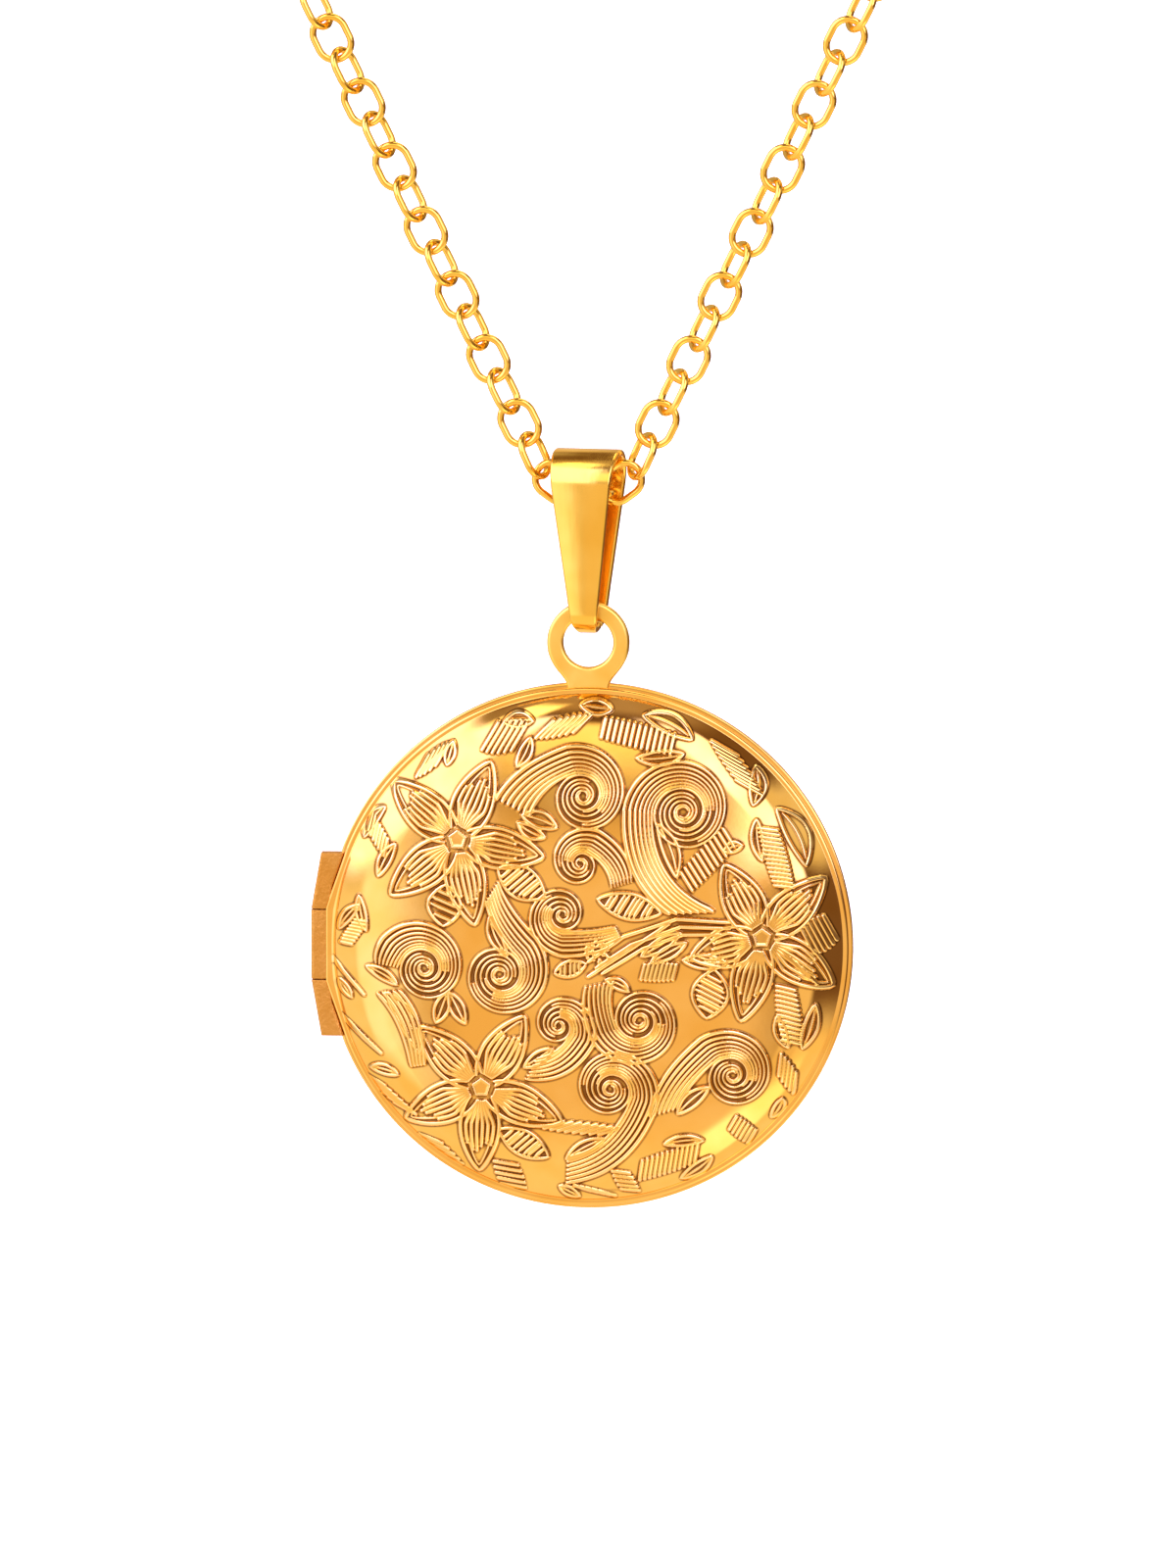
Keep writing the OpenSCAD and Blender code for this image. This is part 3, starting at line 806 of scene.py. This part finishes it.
def dome_grid(edge_r, relief, count):
    """The domed face as arrays of x, height and z about the case's axis, a square grid drawn into a disc."""
    s = np.linspace(-1, 1, count)
    u, v = np.meshgrid(s, s, indexing="ij")
    x = edge_r * u * np.sqrt(1 - v ** 2 / 2)
    z = edge_r * v * np.sqrt(1 - u ** 2 / 2)
    r = np.hypot(x, z)
    h = dome_height(r * (DOME_R / edge_r))
    h += RIPPLE * np.sin(x * 900 + 1.3) * np.sin(z * 760 + 0.4) * np.clip((edge_r - r) / (2 * MM), 0, 1)
    if relief:
        fade = np.clip((DOME_R - r) / (0.5 * MM), 0, 1)
        h = h + relief.read(relief.height, x / MM, z / MM) * MM * fade
    return x, h, z


def rim_rings(angle, side, rim_r):
    """Rings of points at the given angles, from the dome's edge round the rim and across the inside."""
    rings = []
    for radius, height in shell_edge(rim_r):
        x, z = radius * np.cos(angle), CASE_Z + radius * np.sin(angle)
        if radius > RIM_INNER:
            x = hinge_flat(x, z, rim_r, radius, height)
        rings.append(np.stack([x, np.full_like(x, side * height), z], axis=-1))
    return rings


def case_half(name, gold, body, side, rim_r, relief=None, count=800):
    """One half of the case as a single closed skin: dome, rim, seam and inside. side is -1 for the front."""
    x, h, z = dome_grid(rim_r - LIP_W, relief, count)
    grid = np.stack([x, side * h, z + CASE_Z], axis=-1).reshape(-1, 3)
    index = np.arange(count * count).reshape(count, count)
    loop = np.concatenate([index[:, 0], index[-1, 1:], index[-2::-1, -1], index[0, -2:0:-1]])
    rings = rim_rings(np.arctan2(grid[loop, 2] - CASE_Z, grid[loop, 0]), side, rim_r)
    verts = np.concatenate([grid, *rings])
    start, size = len(grid), len(loop)
    faces = grid_faces(count, count)
    faces += [[loop[i], loop[(i + 1) % size], start + (i + 1) % size, start + i] for i in range(size)]
    faces += grid_faces(len(rings), size, close_columns=True, start=start)
    faces.append([start + (len(rings) - 1) * size + i for i in range(size)])
    if side > 0:
        faces = [face[::-1] for face in faces]
    shell = add_mesh(name, verts, faces, gold, body)
    if relief:
        # Each point's depth below its surroundings, from which the engraved gold paints shade into the
        # grooves and a highlight onto the crests.
        depths = np.zeros(len(verts))
        depths[:len(grid)] = relief.read(relief.groove(), x / MM, z / MM).ravel()
        shell.data.attributes.new(GROOVE, "FLOAT", "POINT").data.foreach_set("value", depths)
    return shell


# ---- Turned pieces ----


def polar_prism(outer, inner_r, low, high, bevel, count=128, steps=4, levels=2):
    """A prism about Z with a round hole and rounded edges; outer(angle, level) is its outline's radius."""
    a = np.linspace(0, 2 * np.pi, count, endpoint=False)
    turn = np.radians(90) * np.arange(steps + 1) / steps
    corner = [(bevel * (1 - math.sin(t)), bevel * (1 - math.cos(t))) for t in turn]
    sides = np.linspace(low + bevel, high - bevel, levels)[1:-1]
    columns = [(outer(a, low + rise) - draw, low + rise) for draw, rise in corner]
    columns += [(outer(a, level), level) for level in sides]
    columns += [(outer(a, high - rise) - draw, high - rise) for draw, rise in reversed(corner)]
    columns += [(np.full_like(a, inner_r + draw), high - rise) for draw, rise in corner]
    columns += [(np.full_like(a, inner_r + draw), low + rise) for draw, rise in reversed(corner)]
    x = np.stack([r * np.cos(a) for r, _ in columns], axis=1)
    y = np.stack([r * np.sin(a) for r, _ in columns], axis=1)
    z = np.stack([np.full_like(a, level) for _, level in columns], axis=1)
    verts = np.stack([x, y, z], axis=-1).reshape(-1, 3)
    return verts, grid_faces(count, len(columns), close_rows=True, close_columns=True)


def round_outline(r):
    return lambda angle, level: np.full_like(angle, r)


# ---- Hinge ----

KNUCKLE_FACE = PIN_X - middle_low[0]
KNUCKLE_SLANT = math.tan(math.radians(10))
KNUCKLE_POWER = 9  # higher gives the barrel squarer corners


def knuckle(name, low, high, gold, body, outer=False):
    """A barrel with a squared face; an outer one slants in towards its end and fills the gap to the rim."""
    def outline(angle, level):
        face, right = KNUCKLE_FACE, BARREL_R
        if outer:
            face = KNUCKLE_FACE - (abs(level) - MIDDLE_HALF) * KNUCKLE_SLANT
            right = max(BARREL_R, float(flat_x(abs(level), FRONT_R)) - PIN_X - 0.02 * MM)
        across = np.cos(angle)
        terms = [
            np.clip(-across, 0, None) / face,
            np.clip(across, 0, None) / right,
            np.abs(np.sin(angle)) / BARREL_R,
        ]
        return sum(term ** KNUCKLE_POWER for term in terms) ** (-1 / KNUCKLE_POWER)

    hole_r = 0.02 * MM if outer else 0.23 * MM
    verts, faces = polar_prism(outline, hole_r, low, high, 0.04 * MM, count=96, levels=9)
    verts = verts + (PIN_X, 0, CASE_Z)
    return add_mesh(name, verts, faces, gold, body)


def make_hinge(gold):
    """Three knuckles and the pin through them."""
    gap = 0.03 * MM
    middle = knuckle("knuckle_middle", -MIDDLE_HALF + gap, MIDDLE_HALF - gap, gold, "cover")
    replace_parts(middle, "hinge_knuckle_front")
    start = MIDDLE_HALF + gap
    upper = knuckle("knuckle_upper", start, HINGE_HALF, gold, "case_back", outer=True)
    lower = knuckle("knuckle_lower", -HINGE_HALF, -start, gold, "case_back", outer=True)
    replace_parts(upper, "hinge_knuckle_upper")
    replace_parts(lower, "hinge_knuckle_lower")
    pin_r = pin_high[0] - PIN_X
    ends = [(0.02 * MM, PIN_HALF), (pin_r * 0.7, PIN_HALF - 0.02 * MM), (pin_r, PIN_HALF - 0.08 * MM)]
    profile = ends + [(r, -h) for r, h in reversed(ends)]
    a = np.linspace(0, 2 * np.pi, 48, endpoint=False)
    verts = [(PIN_X + r * math.cos(t), r * math.sin(t), CASE_Z + h) for t in a for r, h in profile]
    faces = grid_faces(len(a), len(profile), close_rows=True, close_columns=True)
    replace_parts(add_mesh("hinge_pin_rod", verts, faces, gold, "case_back"), "hinge_pin")


# ---- Pendant ring and bail ----


def make_pendant_ring(gold):
    """A flat ring that widens downwards into the tab by which it is fixed to the case."""
    tab_half = 0.95 * MM
    tab_depth = RING_Z - ring_low[2]

    def outline(angle, level):
        down = np.clip(-np.sin(angle), 0, None)
        tab = 1 / np.maximum(np.abs(np.cos(angle)) / tab_half, np.maximum(down, 0.01) / tab_depth)
        tab = np.where(down > 0.2, tab, 0)
        blend = 5
        return np.minimum((RING_R ** blend + tab ** blend) ** (1 / blend), tab_depth / np.maximum(down, 0.3))

    verts, faces = polar_prism(outline, RING_HOLE_R, -RING_T / 2, RING_T / 2, 0.18 * MM, count=240, steps=6)
    turned_up = Matrix.Translation((0, 0, RING_Z)) @ Matrix.Rotation(math.radians(90), 4, "X")
    ring = add_mesh("pendant_loop", place(verts, turned_up), faces, gold, "case_back")
    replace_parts(ring, "pendant_ring")


EYE_R = 1.5 * MM  # inside the bail's eye, which the chain runs through
FOOT_R = 0.88 * MM  # inside its foot, which holds the pendant ring
BAIL_DROP = 6.3 * MM  # from the eye's centre down to the foot's
BAIL_T = 0.35 * MM
BAIL_TOP_W = 3.5 * MM
BAIL_FOOT_W = 1.2 * MM
BAIL_TURN = math.radians(-10)  # how far it hangs turned from the front


def bail_path():
    """Middle of the bail's strip in its side view, from its hidden end up over the eye and back down."""
    lean = math.asin((EYE_R - FOOT_R) / BAIL_DROP)
    end = math.radians(-58)
    half_gap = 0.06
    foot_r, eye_r = FOOT_R + BAIL_T / 2, EYE_R + BAIL_T / 2
    points = []
    for centre_z, r, a0, a1, count in (
        (-BAIL_DROP, foot_r, end + half_gap, -lean, 14),
        (0, eye_r, -lean, math.pi + lean, 48),
        (-BAIL_DROP, foot_r, math.pi + lean, 2 * math.pi + end - half_gap, 30),
    ):
        if points:
            here = np.array(points[-1])
            there = np.array((0, r * math.cos(a0), centre_z + r * math.sin(a0)))
            points += [here + (there - here) * t for t in np.linspace(0, 1, 30)[1:-1]]
        for a in np.linspace(a0, a1, count):
            points.append(np.array((0, r * math.cos(a), centre_z + r * math.sin(a))))
    return np.array(points)


def make_bail(gold):
    """A strip folded over the chain; it narrows towards its foot, where it is a little uneven."""
    path = bail_path()
    top, foot = EYE_R + BAIL_T, -BAIL_DROP - FOOT_R - BAIL_T
    rng = np.random.default_rng(11)
    sections = []
    for i, (_, y, z) in enumerate(path):
        width = BAIL_FOOT_W + (BAIL_TOP_W - BAIL_FOOT_W) * (z - foot) / (top - foot)
        low = np.clip((-5.2 * MM - z) / (2 * MM), 0, 1)
        width *= 1 - 0.3 * np.clip((-6.7 * MM - z) / (0.8 * MM), 0, 1) ** 2
        wobble = 0.02 * MM * low * math.sin(0.5 * i + 0.7)
        thick = BAIL_T * (1 + 0.1 * low)
        section = rounded_outline(thick, width + wobble, 0.13 * MM)
        crown = 0.012 * MM * (1 - (2 * section[:, 1] / width) ** 2)
        section[:, 0] += np.sign(section[:, 0]) * crown + 0.002 * MM * rng.standard_normal() * low
        sections.append(section)
    verts, faces = sweep(path, sections, up=(1, 0, 0))
    verts = place(verts, Matrix.Rotation(BAIL_TURN, 4, "Z"))
    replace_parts(add_mesh("folded_bail", verts, faces, gold, "bail"), "bail")


# ---- Inside of the case ----


def make_insides(side, word, body, frame_gold, plate_gold, acetate):
    """A photograph's brushed plate, its clear window and the ring that springs in over them."""
    seat = SEAT * MM
    plate_r, window_r = seat - 0.9 * MM, seat - 0.4 * MM
    window_h, window_t = 0.95 * MM, 0.2 * MM
    plate_h = window_h + window_t + 0.02 * MM
    soft = 0.04 * MM

    def disc(r, h, t):
        """Profile of a disc; rings beside its pinhole and edge keep the flats between them evenly shaded."""
        hole, flat = 0.01 * MM, r - 2 * soft
        under = [(hole, h), (4 * hole, h), (flat, h), (r - soft, h), (r, h + soft)]
        return under + [(q, 2 * h + t - level) for q, level in reversed(under)]

    top, base = 0.47 * MM, 0.92 * MM
    section = [
        (0.05, top + soft), (0.03, base), (1.5, base), (1.52, base - 0.08 * MM), (1.48, base - 0.17 * MM),
        (1.36, base - 0.26 * MM), (1.18, top + soft), (1.1, top), (0.75, top), (0.68, top + 0.05 * MM),
        (0.6, top + 0.05 * MM), (0.53, top), (0.1, top),
    ]
    bezel = [(seat - inset * MM, height) for inset, height in section]
    for name, profile, material, node in (
        ("photo_plate_", disc(plate_r, plate_h, 0.2 * MM), plate_gold, "_photo_plate"),
        ("photo_window_", disc(window_r, window_h, window_t), acetate, "_photo_window"),
        ("photo_bezel_", bezel, frame_gold, "_photo_frame"),
    ):
        verts, faces = lathe(profile)
        if side > 0:
            verts, faces = mirrored(verts, faces)
        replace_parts(add_mesh(name + word, verts, faces, material, body), word + node)


def make_snap_catch(gold):
    """The springy lip opposite the hinge, an arc of a small hooked profile."""
    low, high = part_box("snap_catch")
    half_arc = math.asin((high[2] - low[2]) / 2 / high[0])
    r = high[0]
    profile = np.array([
        (r - 0.3 * MM, 0.43 * MM), (r, 0.43 * MM), (r, 0.02 * MM), (r - 0.05 * MM, 0),
        (r - 0.05 * MM, -0.2 * MM), (r - 0.02 * MM, -0.27 * MM), (r - 0.08 * MM, -0.36 * MM),
        (r - 0.2 * MM, -0.38 * MM), (r - 0.3 * MM, -0.34 * MM),
    ])
    angles = np.linspace(-half_arc, half_arc, 60)
    verts = [(q * math.cos(a), h, CASE_Z + q * math.sin(a)) for a in angles for q, h in profile]
    faces = grid_faces(len(angles), len(profile), close_columns=True)
    faces.append(list(range(len(profile))))
    faces.append([(len(angles) - 1) * len(profile) + i for i in reversed(range(len(profile)))])
    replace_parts(add_mesh("catch_lip", verts, faces, gold, "case_back"), "snap_catch")


# ---- End fittings of the chain ----

# In millimetres; the places are distances from the last link's centre along the strand.
JUMP_R, JUMP_WIRE = 1.25, 0.46
TAG_EYE_R, TAG_HOLE_R, TAG_WALL, TAG_T = 0.8, 1.3, 0.7, 0.5
JUMP_AT = (LINK_L - WIRE_D) / 2 - (WIRE_D + JUMP_WIRE) / 2 - LINK_GAP + JUMP_R
TAG_AT = JUMP_AT + JUMP_R - JUMP_WIRE / 2 - LINK_GAP + TAG_EYE_R


def make_fittings(gold):
    """The jump ring at each end and the stamped tag, two rings in one, that the clasp hooks into."""
    rings = []
    verts, faces = wire_loop(JUMP_R, JUMP_WIRE, steps=40)
    for word, side in (("right", 1), ("left", -1)):
        placed = place(verts, strand_matrix(strand_end(JUMP_AT), STRAND_TILT, 0, side))
        turned_faces = faces if side > 0 else [face[::-1] for face in faces]
        ring = add_mesh("jump_ring_loop_" + word, placed, turned_faces, gold, "chain")
        rings.append(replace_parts(ring, "jump_ring_" + word))
    parts = []
    hole_at = TAG_AT + TAG_EYE_R + TAG_WALL + TAG_HOLE_R
    for hole_r, at, t in ((TAG_EYE_R, TAG_AT, TAG_T - 0.04), (TAG_HOLE_R, hole_at, TAG_T)):
        outline = round_outline((hole_r + TAG_WALL) * MM)
        verts, faces = polar_prism(outline, hole_r * MM, -t / 2 * MM, t / 2 * MM, 0.12 * MM)
        parts.append((place(verts, strand_matrix(strand_end(at), STRAND_TILT, ROLL_FACE)), faces))
    tag = add_mesh("stamped_tag", *join_parts(parts), gold, "chain")
    return rings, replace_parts(tag, "end_tag")


# ---- Light ----

# The studio that the metal mirrors. Azimuth 0 is the front and 90 the right of the photograph. Each panel:
# the azimuths and elevations it fills and its soft edge, in degrees, and its colour. Later ones lie on top.
PANELS = [
    ((-100, 100), (64, 90), 16, (0.50, 0.36, 0.30)),  # dim ceiling
    ((-70, -32), (52, 72), 10, (3.0, 2.7, 2.4)),  # small softbox high at the left
    ((120, 179), (6, 45), 14, (0.9, 0.7, 0.5)),  # wall behind, right
    ((-180, -120), (6, 45), 14, (0.9, 0.7, 0.5)),  # wall behind, left
    ((110, 179), (50, 92), 12, (2.4, 2.0, 1.6)),  # softbox high behind
    ((-180, 180), (-90, -24), 14, (1.15, 0.95, 0.78)),  # warm floor all round
    ((18, 75), (-66, -36), 12, (1.9, 1.7, 1.6)),  # brighter floor at the right
    ((-160, -60), (-30, 60), 16, (0.6, 0.5, 0.45)),  # dim wall at the left
    ((-26, 22), (-32, 12), 12, (1.0, 0.76, 0.6)),  # front, round the camera
    ((-19, 17), (16, 44), 12, (1.7, 1.45, 1.1)),  # front, over the camera
    ((-64, -27), (-28, 10), 10, (1.5, 1.4, 1.8)),  # below the left softbox
    ((-110, -60), (-50, 8), 12, (1.1, 1.0, 0.95)),  # and below its far end
    ((24, 52), (-34, -2), 10, (1.0, 0.8, 0.64)),  # below the right softbox
    ((-106, -19), (10, 56), 8, (2.6, 2.4, 4.2)),  # left softbox
    ((17, 52), (4, 58), 8, (2.8, 2.6, 4.6)),  # right softbox
    ((52, 100), (14, 38), 8, (0.95, 0.83, 0.75)),  # dim strip past it
]
ROOM_AHEAD = (0.2, 0.11, 0.07)  # what the panels leave free, in front and behind
ROOM_BEHIND = (0.22, 0.13, 0.08)
BACKDROP = 1.1  # strength of the plain white that the camera sees


class Sky(Tree):
    """The world's nodes."""

    def __init__(self):
        world = bpy.data.worlds.new("studio")
        world.use_nodes = True
        bpy.context.scene.world = world
        super().__init__(world.node_tree)
        self.tree.nodes.clear()

    def math(self, operation, a, b=None):
        node = self.add("Math", operation=operation)
        for slot, value in zip(node.inputs, (a, b)):
            if isinstance(value, (int, float)):
                slot.default_value = value
            elif value is not None:
                self.link(value, slot)
        return node.outputs[0]

    def rise(self, value, low, high):
        """0 below low, 1 above high and smooth between; it falls instead where low is above high."""
        ends = (0, 1) if low < high else (1, 0)
        return self.map_range(value, min(low, high), max(low, high), *ends, "SMOOTHSTEP")

    def within(self, value, low, high, soft):
        """1 between low and high, with edges as wide as soft."""
        up = self.rise(value, low - soft / 2, low + soft / 2)
        down = self.rise(value, high + soft / 2, high - soft / 2)
        return self.math("MULTIPLY", up, down)


def studio_light(sky):
    """The colour of every direction: the bare room with the panels over it."""
    way = sky.add("TexCoord").outputs["Generated"]
    split = sky.add("SeparateXYZ")
    sky.link(way, split.inputs[0])
    front = sky.math("MULTIPLY", split.outputs[1], -1)
    azimuth = sky.math("DEGREES", sky.math("ARCTAN2", split.outputs[0], front))
    elevation = sky.math("DEGREES", sky.math("ARCSINE", split.outputs[2]))
    light = sky.over(ROOM_AHEAD, sky.rise(front, -0.05, -0.4), ROOM_BEHIND)
    for azimuths, elevations, soft, colour in PANELS:
        across = sky.within(azimuth, *azimuths, soft) if azimuths[1] < 180 else None
        up = sky.within(elevation, *elevations, soft)
        light = sky.over(light, sky.math("MULTIPLY", across, up) if across else up, colour)
    return light


def make_light():
    """The locket mirrors the studio, while the camera sees a plain white backdrop behind it."""
    sky = Sky()
    light = studio_light(sky)
    studio = sky.add("Background")
    sky.link(light, studio.inputs["Color"])
    plain = sky.add("Background", Color=(1, 1, 1, 1), Strength=BACKDROP)
    path = sky.add("LightPath")
    mix = sky.add("MixShader")
    sky.link(path.outputs["Is Camera Ray"], mix.inputs[0])
    sky.link(studio.outputs[0], mix.inputs[1])
    sky.link(plain.outputs[0], mix.inputs[2])
    output = sky.add("OutputWorld")
    sky.link(mix.outputs[0], output.inputs["Surface"])
    bpy.context.scene.view_settings.view_transform = "Standard"


def make_floor():
    size, front_edge, drop = 14.0, -0.6, 0.28
    bpy.ops.mesh.primitive_plane_add(size=size, location=(0, front_edge + size / 2, -drop))
    floor = bpy.context.object
    floor.name = "floor"
    floor.data.materials.append(studio_floor())
    floor.visible_glossy = False


# ---- Scene ----


def main():
    make_camera()
    chain_gold = gold_plate("chain_gold", (0.05, 0.1), 5200, 0.001 * MM, colour=YELLOW_GOLD)
    polished = gold_plate("polished_gold", (0.04, 0.09), 3200, 0.001 * MM)
    satin = gold_plate("satin_gold", (0.12, 0.2), 4200, 0.003 * MM, stretch=(1, 1, 0.06), colour=YELLOW_GOLD)
    matt = gold_plate("hinge_gold", (0.34, 0.5), 5200, 0.045 * MM, colour=ORANGE_GOLD)
    bright = gold_plate("frame_gold", (0.08, 0.16), 3600, 0.002 * MM)
    brushed = gold_plate("photo_plate", (0.25, 0.4), 2600, 0.006 * MM, stretch=(0.05, 1, 1))
    links, path = make_chain(chain_gold)
    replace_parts(links, "chain_centre_link", "chain_links_left", "chain_links_right")
    rings, tag = make_fittings(chain_gold)
    clasp = [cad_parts[n] for n in ("clasp_ring", "clasp_tail_eye", "clasp_bolt", "clasp_spring")]
    for node in clasp:
        node.data.materials.clear()
        node.data.materials.append(chain_gold if node.name != "clasp_spring" else spring_steel())
    case_half("engraved_cover", engraved_gold(), "cover", -1, FRONT_R, cover_relief())
    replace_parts(bpy.data.objects["engraved_cover"], "front_shell")
    case_half("case_back_dome", polished, "case_back", 1, BACK_R, count=240)
    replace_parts(bpy.data.objects["case_back_dome"], "back_shell")
    make_hinge(matt)
    # The ring's paler gold is a painted highlight.
    make_pendant_ring(gold_plate("ring_gold", (0.3, 0.38), 4200, 0.002 * MM, colour=PAINTED_LIGHT_RING_GOLD))
    make_bail(satin)
    acetate = clear_acetate()
    make_insides(-1, "front", "cover", bright, brushed, acetate)
    make_insides(1, "back", "case_back", bright, brushed, acetate)
    make_snap_catch(bright)
    make_light()
    make_floor()


main()
